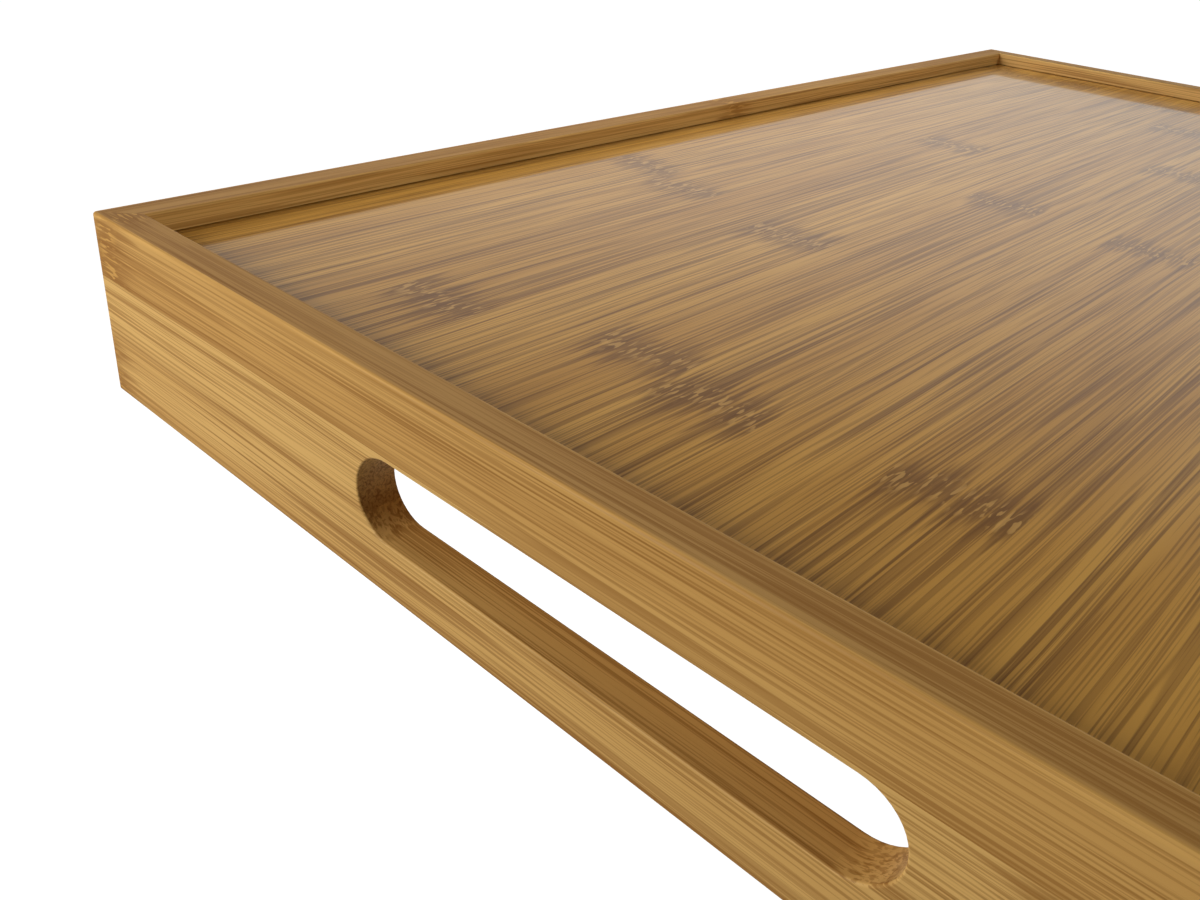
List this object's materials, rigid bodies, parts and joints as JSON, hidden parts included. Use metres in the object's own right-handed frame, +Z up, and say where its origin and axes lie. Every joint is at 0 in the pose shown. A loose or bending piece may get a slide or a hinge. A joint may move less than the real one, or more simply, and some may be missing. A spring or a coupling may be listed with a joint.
{
  "type": "bed and serving tray with folding legs",
  "caption": "Rectangular bamboo tray: raised floor set in a deep mitred rim, hand slots through the end rails, and leg frames that fold up under the floor.",
  "frame": {"origin": "centre of the rectangle that the rails rest on, at the level of their bottom edges", "axes": "+X along the tray's length, towards the right end rail; +Y across it, towards the back long rail; +Z up through the floor"},
  "size_m": [0.5, 0.33, 0.048],
  "materials": {
    "bamboo_rail": "laminated bamboo, satin varnish",
    "bamboo_floor": "laminated bamboo, semi-gloss varnish",
    "bamboo_leg": "laminated bamboo, satin varnish",
    "plated_steel": "nickel plated, satin",
    "nylon": "natural nylon"
  },
  "bodies": {
    "tray": {"end_rail_left": "bamboo_rail", "end_rail_right": "bamboo_rail", "long_rail_front": "bamboo_rail", "long_rail_back": "bamboo_rail", "corner_tongue_left_front": "bamboo_rail", "corner_tongue_left_back": "bamboo_rail", "corner_tongue_right_front": "bamboo_rail", "corner_tongue_right_back": "bamboo_rail", "floor_panel": "bamboo_floor", "pivot_bolt_left_front": "plated_steel", "pivot_bolt_left_back": "plated_steel", "pivot_bolt_right_front": "plated_steel", "pivot_bolt_right_back": "plated_steel", "pivot_spacer_left_front": "nylon", "pivot_spacer_left_back": "nylon", "pivot_spacer_right_front": "nylon", "pivot_spacer_right_back": "nylon", "pivot_washer_left_front": "plated_steel", "pivot_washer_left_back": "plated_steel", "pivot_washer_right_front": "plated_steel", "pivot_washer_right_back": "plated_steel", "pivot_nut_left_front": "plated_steel", "pivot_nut_left_back": "plated_steel", "pivot_nut_right_front": "plated_steel", "pivot_nut_right_back": "plated_steel"},
    "leg_frame_left": {"leg_left_front": "bamboo_leg", "leg_left_back": "bamboo_leg", "leg_crossbar_left": "bamboo_leg"},
    "leg_frame_right": {"leg_right_front": "bamboo_leg", "leg_right_back": "bamboo_leg", "leg_crossbar_right": "bamboo_leg"}
  },
  "joints": [
    {"name": "left_leg_fold", "type": "hinge", "parent": "tray", "child": "leg_frame_left", "pos_m": [-0.22, 0, 0.0221], "axis": [0, 1, 0], "range_deg": [0, 90]},
    {"name": "right_leg_fold", "type": "hinge", "parent": "tray", "child": "leg_frame_right", "pos_m": [0.22, 0, 0.0221], "axis": [0, -1, 0], "range_deg": [0, 90]}
  ]
}
